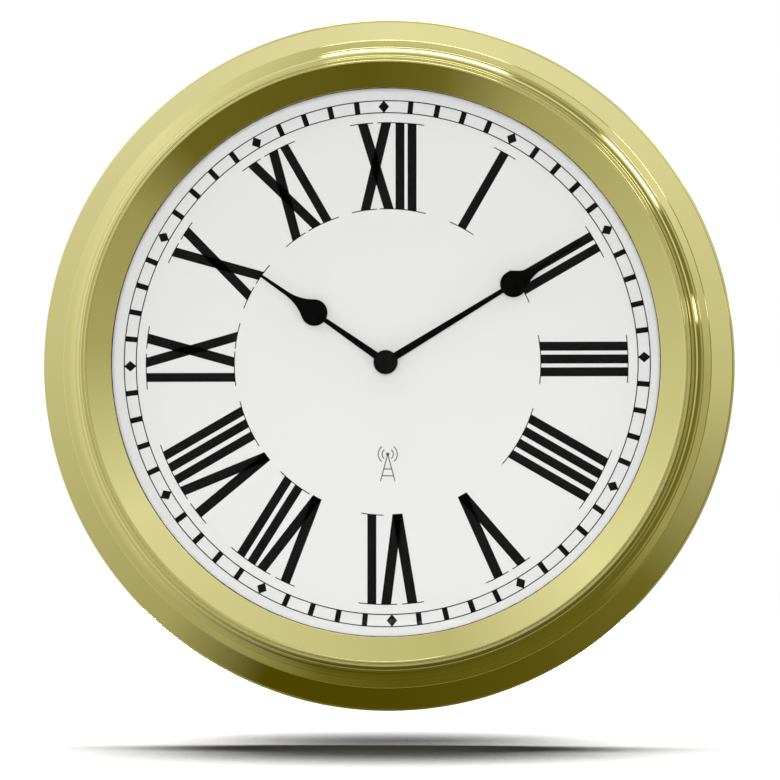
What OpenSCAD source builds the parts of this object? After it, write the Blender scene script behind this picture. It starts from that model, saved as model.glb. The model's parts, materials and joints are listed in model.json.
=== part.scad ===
// Radio-controlled wall clock with a stepped gold bezel and black spade hands.
// Origin: the point on the wall plane where the hanging screw sits in the keyhole.
// +Z is up, the dial faces -Y, and the wall plane is y = 0.
// Inside the modules the clock lies in its own frame: x to the right and y up
// as seen by the reader, z the height above the wall, centred on the dial.

/* [Case] */
// Outer diameter of the bezel
case_d = 300; // [290:1:310]
// Height of the flange's lower edge above the wall
rim_h = 6; // [4:0.5:8]
// Radius of the rounding at the flange's outer edge
rim_round_r = 6; // [4:0.5:7]
// Width of the sloped flange, seen from the front
flange_w = 10.7; // [9:0.1:12]
// Height that the flange climbs
flange_rise = 15.6; // [14:0.1:17]
// Wall of the bezel moulding
bezel_wall = 2.2; // [1.8:0.1:2.6]
// Width of the rim that lies on the wall
wall_rim_w = 2.6; // [2:0.1:3.5]
// Width of the whole bezel ring, seen from the front
ring_w = 33; // [31:0.5:36]
// Width of the inner cone, seen from the front
cone_w = 10.0; // [8:0.1:10.5]
// Depth of the inner cone
cone_depth = 5.6; // [4.5:0.1:7]
// Thickness of the lip over the glass
lip_t = 0.8; // [0.6:0.1:1.2]

/* [Glass and dial] */
// Thickness of the glass
glass_t = 2; // [1.5:0.1:3]
// Width of the glass edge that lies under the lip
glass_cover = 4; // [3:0.1:5]
// Thickness of the seal between lip and glass
seal_t = 0.6; // [0.4:0.1:1]
// Distance from the dial to the glass
glass_gap = 11; // [10.6:0.1:14]
// Wall of the ring between dial and glass
spacer_wall = 1.8; // [1.4:0.1:2.4]
// Thickness of the dial plate
dial_t = 0.6; // [0.5:0.1:1]
// Radial play of glass, ring and dial in the bezel
seat_play = 0.4; // [0.2:0.1:0.6]
// Wall of the skirt that centres glass, ring and dial
skirt_wall = 2; // [1.6:0.1:2.6]

/* [Case back] */
// Thickness of the back plate
back_t = 2; // [1.8:0.1:2.6]
// Height of the back plate's rear face above the wall
back_h = 3; // [2.6:0.1:3.4]
// Radial gap between back plate and bezel rim
back_play = 0.4; // [0.3:0.1:0.8]
// Wall of the recess that holds the movement
recess_wall = 2; // [1.6:0.1:2.4]
// Room between movement and recess at the left and right
recess_gap_x = 10; // [9:0.5:14]
// Room between movement and recess at the top and bottom
recess_gap_y = 2.5; // [1.5:0.5:6]
// Thickness of ribs
rib_t = 1.8; // [1.2:0.1:2.4]
// Height of the radial ribs
rib_h = 5; // [3:0.5:7]
// Number of radial ribs
rib_count = 12; // [6:1:16]
// Number of case screws
screw_count = 6; // [4:1:8]
// Distance from the bezel's outside to the case screws
screw_in = 16; // [15:0.5:17]
// Diameter of the case screws' shanks
screw_d = 3; // [2.6:0.1:3.4]
// Diameter of the case screws' heads
screw_head_d = 5.8; // [5.6:0.1:6.4]
// Height of the case screws' heads
screw_head_h = 1.8; // [1.4:0.1:2.2]
// Length of the case screws' shanks
screw_len = 11; // [9:0.5:13]

/* [Hanger] */
// Distance from the bezel's outside to the hanging point
hang_in = 48; // [46:1:56]
// Diameter of the keyhole's entry
key_entry_d = 9; // [8:0.1:10]
// Width of the keyhole's slot
key_slot_w = 4.2; // [4:0.1:5]
// Drop from the hanging point to the entry's centre
key_drop = 10; // [9:0.5:12]
// Depth of the pocket for the screw head
key_depth = 7; // [5:0.5:8]

/* [Hands] */
// Distance from the hour hand's tip to the edge of the opening
hour_tip_gap = 51; // [47:1:57]
// Place of the hour hand's spade as a share of its length
hour_spade_share = 0.568; // [0.52:0.01:0.6]
// Distance from the minute hand's tip to the edge of the opening
minute_tip_gap = 19; // [13:1:27]
// Place of the minute hand's spade as a share of its length
minute_spade_share = 0.653; // [0.6:0.01:0.7]
// Radius of the spades
spade_r = 5.7; // [5:0.1:6.4]
// Width of the hands at the hub
hand_root_w = 3.4; // [3:0.1:4]
// Width of the hands just before the spade
hand_neck_w = 2; // [1.6:0.1:2.4]
// Width of the tips
hand_tip_w = 1.2; // [0.8:0.1:1.6]
// Thickness of the hands
hand_t = 0.5; // [0.3:0.05:0.7]
// Radius of the hands' hubs
hub_r = 4.4; // [4:0.1:4.8]
// Radius of the domed cap nut
cap_r = 5.2; // [4.8:0.1:5.6]
// Height of the domed cap nut
cap_h = 2.9; // [2.4:0.1:3.1]
// Hour shown
shown_hour = 10; // [0:1:11]
// Minute shown
shown_minute = 9.77; // [0:0.01:59]

/* [Movement] */
// Width of the movement
move_w = 76; // [74:1:80]
// Height of the movement
move_l = 74; // [73:1:76]
// Height of the movement's rear face above the wall
move_h = 1.2; // [0.9:0.1:1.5]
// Wall of the movement's housing
move_wall = 1.5; // [1.3:0.1:1.8]
// Radius of the movement's corners
move_corner_r = 4; // [2:0.5:6]
// Extra distance between meshing axes
mesh_play = 0.05; // [0.02:0.01:0.08]
// Radial play of arbors and tubes in their bearings
bearing_play = 0.06; // [0.03:0.01:0.09]
// Radius of the minute arbor
arbor_r = 1; // [0.9:0.05:1.1]
// Radius of the small arbors' pivots
pivot_r = 0.6; // [0.5:0.05:0.7]
// Outer radius of the hour wheel's tube
tube_r = 2.5; // [2.3:0.05:2.7]
// Outer radius of the housing's front bush
bush_r = 3.8; // [3.6:0.05:4]
// Thickness of the gear wheels
wheel_t = 1; // [0.8:0.05:1.1]

/* [Battery] */
// Diameter of the AA battery
battery_d = 14.2; // [14:0.1:14.4]
// Length of the battery without its nub
battery_l = 49.2; // [49:0.1:49.6]
// Height of the nub
nub_h = 1.2; // [1:0.1:1.4]
// Floor of the battery bay
bay_floor_t = 1; // [0.8:0.1:1.2]
// Room between battery and bay floor
battery_lift = 0.2; // [0.1:0.1:0.5]
// Room between battery and rear cover's plane
battery_rear = 0.8; // [0.5:0.1:1.5]

/* [Buttons and antenna] */
// Radius of the push buttons
button_r = 2.4; // [2:0.1:2.8]
// Travel of the push buttons
button_travel = 0.8; // [0.4:0.1:0.9]
// Radius of the ferrite rod
ferrite_r = 4; // [3.5:0.1:4.2]
// Room beyond each end of the ferrite rod
ferrite_gap = 1.25; // [1:0.25:4]
// Radius of the antenna winding
winding_r = 5; // [4.6:0.1:5.2]
// Length of the antenna winding
winding_l = 22; // [16:1:28]

/* [Hidden] */
$fn = 96;
eps = 0.01;

// Heights above the wall, from the movement out to the glass
move_depth = battery_d + bay_floor_t + battery_lift + battery_rear;
move_front_h = move_h + move_depth;
dial_back_h = move_front_h + recess_wall;
dial_front_h = dial_back_h + dial_t;
glass_back_h = dial_front_h + glass_gap;
glass_front_h = glass_back_h + glass_t;
seat_h = glass_front_h + seal_t;
lip_h = seat_h + lip_t;
crest_h = lip_h + cone_depth;

// Radii of the stack behind the lip
case_r = case_d / 2;
opening_r = case_r - ring_w;
hang_h = case_r - hang_in;
screw_pcd_r = case_r - screw_in;
glass_r = opening_r + glass_cover;
skirt_in_r = glass_r + seat_play;
skirt_out_r = skirt_in_r + skirt_wall;
spacer_out_r = glass_r;
spacer_in_r = spacer_out_r - spacer_wall;
seal_show = 0.25;
seal_in_r = opening_r - seal_show;

// Outline of the bezel: flange, two steps, cove, two beads, inner cone
function arc(c, r, from, to, n) =
    [for (i = [0:n]) let (a = from + (to - from) * i / n) [c[0] + r * cos(a), c[1] + r * sin(a)]];
function oval(c, a, b, from, to, n) =
    [for (i = [0:n]) let (t = from + (to - from) * i / n) [c[0] + a * cos(t), c[1] + b * sin(t)]];
rim_draft = 0.7;
step_up = 1.4;
step_round = 0.6;
band_w = 1.8;
band_rise = 1.3;
flange_run = [rim_round_r - flange_w, flange_rise];
flange_angle = atan2(flange_run[1], flange_run[0]) - acos(rim_round_r / norm(flange_run));
flange_top = [case_r - flange_w, rim_h + flange_rise];
step_lean = 0.15;
step2_up = 0.9;
step1_top = [flange_top[0] - step_lean, flange_top[1] + step_up];
step2_foot = [step1_top[0] - step_round - band_w, step1_top[1] + step_round + band_rise];
step2_top = [step2_foot[0] - step_lean, step2_foot[1] + step2_up];
cone_top = [opening_r + cone_w, crest_h];
bead_r = 0.85;
mid_bead_r = 0.4;
bead1_drop = 0.75;
mid_bead_drop = 0.35;
bead2_drop = 0.25;
bead_lap = 0.1;
cove_lip = 0.15;
cove_drop = 0.6;
cove_in = 1.9;
bead1_c = [cone_top[0] + 2 * bead_r + 2 * mid_bead_r + bead_lap, crest_h - bead1_drop];
mid_bead_c = [cone_top[0] + 2 * bead_r + mid_bead_r - bead2_drop, crest_h - mid_bead_drop];
bead2_c = [cone_top[0] + bead_r - bead_lap, crest_h - bead2_drop];
cove_end = [bead1_c[0] + bead_r + cove_lip, bead1_c[1] - cove_drop];
cove_start = [step2_top[0] - step_round, step2_top[1] + step_round];
cove_c = [cove_start[0] + cove_in, cove_end[1]];
cove_a = cove_c[0] - cove_end[0];
cove_from = acos(cove_in / cove_a);
cove_b = (cove_end[1] - cove_start[1]) / sin(cove_from);
lip_round = 0.35;
crest_foot = [0.35, 0.2];
outer_line = concat(
    [[case_r - rim_draft, 0]],
    arc([case_r - rim_round_r, rim_h], rim_round_r, 0, flange_angle, 6),
    [flange_top],
    arc([step1_top[0] - step_round, step1_top[1]], step_round, 0, 60, 3),
    [step2_foot],
    arc([step2_top[0] - step_round, step2_top[1]], step_round, 0, 70, 3),
    oval(cove_c, -cove_a, -cove_b, cove_from, 0, 10),
    arc(bead1_c, bead_r, -10, 155, 8),
    arc(mid_bead_c, mid_bead_r, 50, 145, 4),
    arc(bead2_c, bead_r, 40, 140, 5),
    [cone_top - crest_foot],
    arc([opening_r + lip_round, lip_h - lip_round], lip_round, 120, 180, 3));
skirt_gap = 0.2;
inner_line = [
    [opening_r, seat_h],
    [skirt_in_r, seat_h],
    [skirt_in_r, dial_back_h + skirt_gap],
    [skirt_out_r, dial_back_h + skirt_gap],
    [skirt_out_r, seat_h],
    [cone_top[0], crest_h - 1.27 * bezel_wall],
    [bead1_c[0] - 0.27 * bezel_wall, crest_h - 1.64 * bezel_wall],
    [step2_top[0] - 1.45 * bezel_wall, step2_top[1] - 0.64 * bezel_wall],
    [flange_top[0] - 0.82 * bezel_wall, flange_top[1] - 0.73 * bezel_wall],
    [case_r - wall_rim_w - 0.29 * rim_draft, 1.2 * rim_h],
    [case_r - wall_rim_w - rim_draft, 0]];

// Case screws and their bosses
boss_r = 3.6;
boss_foot_h = back_h + back_t;
screw_hole_play = 0.3;
pilot_bite = 0.25;
pilot_r = screw_d / 2 - pilot_bite;
thread_fit = 0.02;
screw_turn = 180 / screw_count;

// Movement: axes of the train in plan, whose wheels grow with the housing
gear_m = move_l / 148;
inner_x = move_w / 2 - move_wall;
inner_y = move_l / 2 - move_wall;
recess_w = move_w + 2 * recess_gap_x;
recess_l = move_l + 2 * recess_gap_y;
move_in_h = move_h + move_wall;
plate_h = move_front_h - move_wall;
function turned(r, a) = [r * cos(a), r * sin(a)];
function mesh_d(n1, n2) = (n1 + n2) * gear_m / 2 + mesh_play;
function mesh_phase(a, n1, p1, n2) = a + 180 - (0.5 - (a - p1) * n1 / 360) * 360 / n2;
centre_n = 60;
cannon_n = 10;
motion_n = 30;
leaf_n = 8;
hour_n = 32;
second_n = 48;
first_n = 32;
second_dir = 120;
first_dir = 50;
rotor_dir = -25;
motion_dir = -30;
second_at = turned(mesh_d(centre_n, leaf_n), second_dir);
first_at = second_at + turned(mesh_d(second_n, leaf_n), first_dir);
rotor_at = first_at + turned(mesh_d(first_n, leaf_n), rotor_dir);
motion_at = turned(mesh_d(cannon_n, motion_n), motion_dir);

// Movement: heights of the train, in shares of the room between cover and front plate
rise = (plate_h - move_in_h) / 13.2;
floor_gap = 1.3 * rise;
centre_rise = 3.6 * rise;
first_rise = 0.2 * rise;
motion_gap = 0.5 * rise;
hour_gap = 1.8 * rise;
stator_gap = 2.1 * rise;
tip_gap = 0.3;
end_play = 0.1;
second_h = move_in_h + floor_gap;
centre_h = second_h + centre_rise;
first_h = centre_h + first_rise;
motion_h = centre_h + wheel_t + motion_gap;
hour_h = motion_h + wheel_t + hour_gap;
stator_h = first_h + wheel_t + stator_gap;
sheet_t = 1;
boss_wall = 1.2;
stem_wall = 0.4;
pivot_l = 1.6;
rotor_pivot_l = 1;
stud_out = 0.2;
motion_end_h = hour_h + wheel_t + 0.5;
socket = 0.7;
shoulder_gap = 0.2;

// Hands: heights and angles
bush_rise = 1.6;
hour_hand_rise = 4.2;
hand_step = 2.6;
bush_h = dial_front_h + bush_rise;
hour_hand_h = dial_front_h + hour_hand_rise;
minute_hand_h = hour_hand_h + hand_step;
hour_len = opening_r - hour_tip_gap;
minute_len = opening_r - minute_tip_gap;
hour_angle = -(shown_hour + shown_minute / 60) * 30;
minute_angle = -shown_minute * 6;
thread_r = 0.8;
collet_r = 3.4;

// Battery bay along the movement's lower edge
bay_wall = 1.2;
battery_r = battery_d / 2;
bay_play = 0.5;
spring_room = 3.2;
nub_room = 1.3;
battery_off = -0.3;
battery_at = [battery_off, -inner_y + 0.4 * bay_wall + bay_play + battery_r];
battery_h = move_front_h - bay_floor_t - battery_lift - battery_r;
contact_t = 0.4;
contact_w = 6;
contact_low = move_in_h + 0.4 * rise;
contact_high = battery_h + 0.39 * battery_r;
bay_in = [battery_off - battery_l / 2 - spring_room,
          battery_off + battery_l / 2 + nub_h + nub_room];
bay_top = battery_at[1] + battery_r + bay_play;
bay_low = battery_at[1] - battery_r - bay_play;

// Coil, board, switches and antenna
stator_l = 48 * gear_m;
stator_w = 16 * gear_m;
coil_off = 16.4 * gear_m;
magnet_r = 5 * gear_m;
rotor_gap = 0.7;
coil_gap = 0.5;
coil_r = plate_h - stator_h - 1.5 * sheet_t - coil_gap;
coil_lap = 0.1;
core_h = stator_h + sheet_t;
core_w = 3;
tab_w = 4.6;
board_t = 0.8;
board_h = move_in_h + 6.3 * rise;
board_gap = [0.5, 0.3];
board_end_gap = [3, 2];
board_x = [rotor_at[0] + coil_off + coil_r + coil_lap + board_gap[0], inner_x - board_gap[1]];
board_y = [bay_top + bay_wall + board_end_gap[0], inner_y - board_end_gap[1]];
chip_r = 4;
chip_t = 1.4;
chip_dome_r = 6.4;
button_x = (board_x[0] + board_x[1]) / 2;
button_pitch = 15;
button_in = 13.5;
button_y = [board_y[1] - button_in, board_y[1] - button_in - button_pitch];
switch_w = 6;
switch_t = 3.5;
plunger_r = 1.6;
antenna_gap = 1.1;
antenna_ends = [bay_top + bay_wall + ferrite_gap, inner_y - ferrite_gap];
antenna_at = [-inner_x + winding_r + antenna_gap, (antenna_ends[0] + antenna_ends[1]) / 2];
ferrite_l = antenna_ends[1] - antenna_ends[0];
antenna_h = (move_in_h + plate_h) / 2 - 0.3 * rise;

// The clock's own frame, hung from the origin
module hung() {
    translate([0, 0, -hang_h]) rotate([90, 0, 0]) children();
}
module at(p, h) {
    translate([p[0], p[1], h]) children();
}
module round_bar(w, l, h, r) {
    translate([-w / 2 + r, -l / 2, 0]) cube([w - 2 * r, l, h]);
    translate([-w / 2, -l / 2 + r, 0]) cube([w, l - 2 * r, h]);
    for (sx = [-1, 1], sy = [-1, 1])
        translate([sx * (w / 2 - r), sy * (l / 2 - r), 0]) cylinder(r = r, h = h, $fn = 48);
}
module tube(r_out, r_in, h) {
    difference() {
        cylinder(r = r_out, h = h);
        translate([0, 0, -1]) cylinder(r = r_in, h = h + 2);
    }
}

// Involute wheel with a tooth on +x; clear_t is taken off each tooth for backlash
tooth_add = 0.8;
tooth_ded = 1.2;
clear_t = 0.1;
press_a = 20;
function inv(a) = tan(a) - a * PI / 180;
function tooth_half(rp, r) =
    let (rb = rp * cos(press_a), a = r > rb ? acos(rb / r) : 0)
    (PI * gear_m / 2 - clear_t) / 2 / rp * 180 / PI + (inv(press_a) - inv(a)) * 180 / PI;
module gear_outline(n) {
    rp = n * gear_m / 2;
    ra = rp + tooth_add * gear_m;
    rf = rp - tooth_ded * gear_m;
    rb = rp * cos(press_a);
    radii = rb > rf ? [rf, rb, (rb + ra) / 2, ra] : [rf, (rf + ra) / 2, ra];
    last = len(radii) - 1;
    polygon([for (k = [0:n - 1], i = [0:2 * last + 1])
        let (r = radii[i <= last ? i : 2 * last + 1 - i],
             a = k * 360 / n + (i <= last ? -1 : 1) * tooth_half(rp, r))
        [r * cos(a), r * sin(a)]]);
}
module gear(n, t, turn = 0) {
    linear_extrude(t) rotate(turn) gear_outline(n);
}
module wheel(n, holes, turn = 0) {
    pitch_r = n * gear_m / 2;
    difference() {
        gear(n, wheel_t, turn);
        for (k = [0:holes - 1]) rotate(k * 360 / holes) translate([0.6 * pitch_r, 0, -1])
            cylinder(r = 0.18 * pitch_r, h = wheel_t + 2, $fn = 32);
    }
}

// Case

module bezel() {
    hung() color("gold") difference() {
        union() {
            rotate_extrude($fn = 180) polygon(concat(outer_line, inner_line));
            intersection() {
                rotate_extrude($fn = 180) polygon(concat(outer_line, [[opening_r, 0]]));
                for (k = [0:screw_count - 1]) rotate(screw_turn + k * 360 / screw_count)
                    translate([screw_pcd_r, 0, boss_foot_h])
                        cylinder(r = boss_r, h = step2_top[1] - boss_foot_h - bezel_wall);
            }
        }
        for (k = [0:screw_count - 1]) rotate(screw_turn + k * 360 / screw_count)
            translate([screw_pcd_r, 0, boss_foot_h - 1]) cylinder(r = pilot_r, h = screw_len + 1);
    }
}

module glass() {
    hung() color("lightcyan", 0.3) translate([0, 0, glass_back_h])
        cylinder(r = glass_r, h = glass_t, $fn = 180);
}

module glass_seal() {
    hung() color("black") translate([0, 0, glass_front_h]) tube(glass_r, seal_in_r, seal_t);
}

module spacer_ring() {
    hung() color("whitesmoke") translate([0, 0, dial_front_h])
        tube(spacer_out_r, spacer_in_r, glass_gap);
}

module dial() {
    hung() color("white") translate([0, 0, dial_back_h])
        tube(glass_r, bush_r + 0.2, dial_t);
}

// Moulded back: plate, dial seat, ribs, movement recess, hanger window and screw wells
back_r = case_r - wall_rim_w - rim_draft - back_play;
seat_gap = 1;
seat_rib_r = skirt_in_r - seat_gap;
well_floor = 1.2;
recess_corner = move_corner_r + 2;
rib_from = recess_l / 2 + recess_wall + rib_t / 2;
pocket_gap = 1.5;
pocket_w = key_entry_d + 2 * pocket_gap;
pocket_low = hang_h - key_drop - key_entry_d / 2 - pocket_gap;
pocket_high = hang_h + key_slot_w / 2 + 2.27 * pocket_gap;
module recess_block(grow, from, to) {
    translate([0, 0, from])
        round_bar(recess_w + 2 * grow, recess_l + 2 * grow, to - from, recess_corner + grow);
}
module pocket_block(grow, from, to) {
    translate([-pocket_w / 2 - grow, pocket_low - grow, from])
        cube([pocket_w + 2 * grow, pocket_high - pocket_low + 2 * grow, to - from]);
}
module case_back() {
    plate_top = back_h + back_t;
    hung() color([0.13, 0.13, 0.14]) difference() {
        union() {
            translate([0, 0, back_h]) cylinder(r = back_r, h = back_t, $fn = 180);
            translate([0, 0, back_h])
                tube(seat_rib_r, seat_rib_r - rib_t, dial_back_h - back_h);
            recess_block(recess_wall, back_h, dial_back_h);
            for (k = [0:rib_count - 1]) rotate((k + 0.5) * 360 / rib_count)
                translate([rib_from, -rib_t / 2, back_h])
                    cube([seat_rib_r - rib_t / 2 - rib_from, rib_t, back_t + rib_h]);
        }
        recess_block(0, back_h - 1, move_front_h);
        translate([0, 0, move_front_h - 1]) cylinder(r = bush_r + 0.2, h = recess_wall + 2);
        pocket_block(rib_t + insert_play, back_h - 1, plate_top + 1);
        for (k = [0:screw_count - 1]) rotate(screw_turn + k * 360 / screw_count)
            translate([screw_pcd_r, 0, 0]) {
                translate([0, 0, back_h - 1])
                    cylinder(r = screw_d / 2 + screw_hole_play, h = back_t + 2);
                translate([0, 0, back_h - 1])
                    cylinder(r = screw_head_d / 2 + screw_hole_play, h = 1 + back_t - well_floor);
            }
    }
    hung() color([0.13, 0.13, 0.14]) for (p = ear_at) at(p, ear_h + ear_t)
        difference() {
            cylinder(r = ear_boss_r, h = move_front_h - ear_h - ear_t + eps);
            translate([0, 0, -1]) cylinder(r = ear_pilot_r, h = ear_screw_len);
        }
}

// Hanger: a box with the keyhole in its floor, pressed into the back plate from inside
insert_play = 0.05;
insert_lap = 2;
insert_lap_t = 1.2;
module hanger_insert() {
    plate_top = back_h + back_t;
    hung() color([0.13, 0.13, 0.14]) difference() {
        union() {
            pocket_block(rib_t, back_h, plate_top + key_depth + rib_t);
            pocket_block(rib_t + insert_lap, plate_top, plate_top + insert_lap_t);
        }
        pocket_block(0, plate_top, plate_top + key_depth);
        translate([0, hang_h - key_drop, back_h - 1])
            cylinder(r = key_entry_d / 2, h = back_t + 2);
        translate([0, hang_h, back_h - 1]) cylinder(r = key_slot_w / 2, h = back_t + 2);
        translate([-key_slot_w / 2, hang_h - key_drop, back_h - 1])
            cube([key_slot_w, key_drop, back_t + 2]);
    }
}

module pan_screw(shank_r, shank_l, head_r, head_h) {
    cylinder(r = shank_r, h = shank_l + head_h - 0.5);
    translate([0, 0, shank_l + head_h - 0.5]) cylinder(r1 = shank_r, r2 = shank_r * 0.4, h = 0.5);
    difference() {
        intersection() {
            cylinder(r = head_r, h = head_h);
            translate([0, 0, head_r * 1.6]) sphere(r = head_r * 1.7);
        }
        for (a = [0, 90]) rotate(a)
            translate([-head_r * 0.55, -0.4, -1]) cube([head_r * 1.1, 0.8, 1.9]);
    }
}
module case_screws() {
    hung() color("silver") for (k = [0:screw_count - 1]) rotate(screw_turn + k * 360 / screw_count)
        translate([screw_pcd_r, 0, back_h + back_t - well_floor - screw_head_h])
            pan_screw(pilot_r - thread_fit, screw_len - 1, screw_head_d / 2, screw_head_h);
}

// Movement housing

ear_depth = 7;
ear_h = move_front_h - ear_depth;
ear_t = 1.6;
ear_boss_r = 3;
ear_pilot_r = 1;
ear_screw_len = 5.2;
ear_rim = 0.4;
ear_x = move_w / 2 + ear_boss_r + ear_rim + 1;
ear_y = move_l / 2 - 13;
ear_at = [for (sx = [-1, 1], sy = [-1, 1]) [sx * ear_x, sy * ear_y]];
function bearing_at(i) = [[0, 0], second_at, first_at, rotor_at][i];
module bearing_boss(p, r, from, to) {
    at(p, from) cylinder(r = r + boss_wall, h = to - from, $fn = 48);
}
module bearing_hole(p, r, from, to) {
    at(p, from) cylinder(r = r + bearing_play, h = to - from, $fn = 48);
}
peg_r = 1.8;
peg_pin_r = 1;
pin_out = 0.6;
pin_play = 0.1;
board_pegs = [[board_x[0] + 2.2, board_y[0] + 2.2], [board_x[1] - 2.2, board_y[0] + 2.2],
              [board_x[1] - 2.2, board_y[1] - 2.2]];
core_pegs = [for (s = [-1, 1]) rotor_at + [0, s * (stator_l - tab_w) / 2]];
cradle_t = 2;
cradle_y = [-1, 1] * (winding_l / 2 + 2.5 * cradle_t);
module bay_box(grow, from, to) {
    translate([bay_in[0] - grow, bay_low - grow, from])
        cube([bay_in[1] - bay_in[0] + 2 * grow, bay_top - bay_low + 2 * grow, to - from]);
}
module movement_housing() {
    hung() color([0.2, 0.2, 0.22]) {
        difference() {
            union() {
                difference() {
                    translate([0, 0, move_in_h])
                        round_bar(move_w, move_l, move_front_h - move_in_h, move_corner_r);
                    translate([0, 0, move_in_h - 1])
                        round_bar(2 * inner_x, 2 * inner_y,
                                  plate_h - move_in_h + 1, move_corner_r - move_wall);
                }
                intersection() {
                    bay_box(bay_wall, move_in_h, move_front_h);
                    translate([0, 0, move_in_h])
                        round_bar(move_w, move_l, move_front_h - move_in_h, move_corner_r);
                }
                translate([0, 0, move_front_h - eps])
                    cylinder(r = bush_r, h = bush_h - move_front_h + eps);
                bearing_boss([0, 0], tube_r, hour_h + wheel_t + tip_gap, plate_h + eps);
                bearing_boss(second_at, pivot_r, plate_h - pivot_l, plate_h + eps);
                bearing_boss(first_at, pivot_r, plate_h - pivot_l, plate_h + eps);
                bearing_boss(rotor_at, pivot_r, plate_h - rotor_pivot_l, plate_h + eps);
                at(motion_at, motion_h - stud_out) cylinder(r = arbor_r, h = plate_h - motion_h + stud_out + eps);
                bearing_boss(motion_at, arbor_r - stem_wall, motion_end_h + tip_gap, plate_h + eps);
                for (p = board_pegs) {
                    at(p, board_h + board_t) cylinder(r = peg_r, h = plate_h - board_h - board_t + eps);
                    at(p, board_h - pin_out) cylinder(r = peg_pin_r, h = board_t + 2 * pin_out);
                }
                for (p = core_pegs) {
                    at(p, core_h + sheet_t) cylinder(r = peg_r, h = plate_h - core_h - sheet_t + eps);
                    at(p, stator_h - pin_out) cylinder(r = peg_pin_r, h = 2 * sheet_t + 2 * pin_out);
                }
                for (dy = cradle_y)
                    translate([antenna_at[0] - ferrite_r - 1, antenna_at[1] + dy - cradle_t / 2,
                               antenna_h])
                        cube([2 * ferrite_r + 2, cradle_t, plate_h - antenna_h + eps]);
                for (p = ear_at) at(p, ear_h) {
                    cylinder(r = ear_boss_r + ear_rim, h = ear_t);
                    translate([p[0] > 0 ? -ear_x + inner_x : 0, -ear_boss_r - ear_rim, 0])
                        cube([ear_x - inner_x, 2 * (ear_boss_r + ear_rim), ear_t]);
                }
            }
            bay_box(0, move_in_h - 1, move_front_h - 1);
            bearing_hole([0, 0], tube_r, hour_h, bush_h + 1);
            for (i = [1:3]) bearing_hole(bearing_at(i), pivot_r, plate_h - pivot_l - 1, plate_h + socket);
            at(antenna_at, antenna_h) rotate([90, 0, 0])
                cylinder(r = ferrite_r + 0.05, h = ferrite_l, center = true);
            for (p = ear_at) at(p, ear_h - 1) cylinder(r = ear_pilot_r + 0.5, h = ear_t + 2);
            contact_slots();
        }
    }
}
// Slots in the bay's end walls that hold the contacts
slot_t = contact_t + pin_play;
slot_w = contact_w + 4 * pin_play;
module contact_slots() {
    for (x = [bay_in[0] - slot_t, bay_in[1] - eps])
        at([x, battery_at[1] - slot_w / 2], move_in_h - 1)
            cube([slot_t + eps, slot_w, contact_high + 2 * pin_play - move_in_h + 1]);
}

// Rear cover with bearing bosses, button holes and an open battery window
cover_lip_t = 1;
cover_play = 0.2;
cover_boss_l = 0.6;
cover_lip_h = 1.2;
module movement_cover() {
    hung() color([0.16, 0.16, 0.18]) difference() {
        union() {
            translate([0, 0, move_h]) round_bar(move_w, move_l, move_wall, move_corner_r);
            difference() {
                translate([0, 0, move_h])
                    round_bar(2 * (inner_x - cover_play), 2 * (inner_y - cover_play),
                              move_wall + cover_lip_h, move_corner_r - move_wall);
                translate([0, 0, move_in_h])
                    round_bar(2 * (inner_x - cover_play - cover_lip_t),
                              2 * (inner_y - cover_play - cover_lip_t),
                              cover_lip_h + 1, 1);
            }
            bearing_boss([0, 0], arbor_r, move_h, second_h);
            for (i = [1:3]) bearing_boss(bearing_at(i), pivot_r, move_h, move_in_h + cover_boss_l);
        }
        bearing_hole([0, 0], arbor_r, move_in_h - socket - end_play, second_h + 1);
        for (i = [1:3]) bearing_hole(bearing_at(i), pivot_r, move_in_h - socket - end_play, move_in_h + 2);
        for (y = button_y) at([button_x, y], move_h - 1)
            cylinder(r = button_r + plunger_play, h = move_wall + 2, $fn = 48);
        translate([bay_in[0] - bay_wall - 0.3, -move_l, move_h - 1])
            cube([bay_in[1] - bay_in[0] + 2 * bay_wall + 0.6, move_l + bay_top + bay_wall + 0.3,
                  move_wall + cover_lip_h + 2]);
    }
}

ear_head_r = 2.2;
ear_head_h = 1.2;
ear_screw_end = 1.8;
module movement_screws() {
    hung() color("silver") for (p = ear_at) at(p, ear_h - ear_head_h)
        pan_screw(ear_pilot_r - thread_fit, ear_t + ear_screw_len - ear_screw_end, ear_head_r,
                  ear_head_h);
}

// Going train and motion work

pivot_foot_h = move_in_h - socket;
pivot_top_h = plate_h + socket - end_play;
cap_roof = 0.8;
module minute_arbor() {
    seat = minute_hand_h;
    hung() color("silver") {
        at([0, 0], pivot_foot_h) cylinder(r = arbor_r, h = seat - pivot_foot_h);
        at([0, 0], seat - eps) cylinder(r = thread_r, h = hand_t + cap_h - cap_roof - end_play);
    }
}

module centre_wheel() {
    hung() color("ivory") difference() {
        union() {
            at([0, 0], centre_h) wheel(centre_n, 5);
            at([0, 0], second_h + shoulder_gap) cylinder(r = 2 * arbor_r, h = centre_h - second_h, $fn = 48);
            at([0, 0], centre_h + wheel_t - eps) gear(cannon_n, motion_h - centre_h + 0.6 * wheel_t + eps);
        }
        at([0, 0], 0) cylinder(r = arbor_r, h = move_front_h, $fn = 48);
    }
}

module motion_wheel() {
    turn = mesh_phase(motion_dir, cannon_n, 0, motion_n);
    hung() color("ivory") difference() {
        union() {
            at(motion_at, motion_h) wheel(motion_n, 4, turn);
            at(motion_at, motion_h + wheel_t - eps) gear(leaf_n, motion_end_h - motion_h - wheel_t + eps);
        }
        at(motion_at, motion_h - 1)
            cylinder(r = arbor_r + bearing_play, h = motion_end_h - motion_h + 2, $fn = 48);
    }
}

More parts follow.
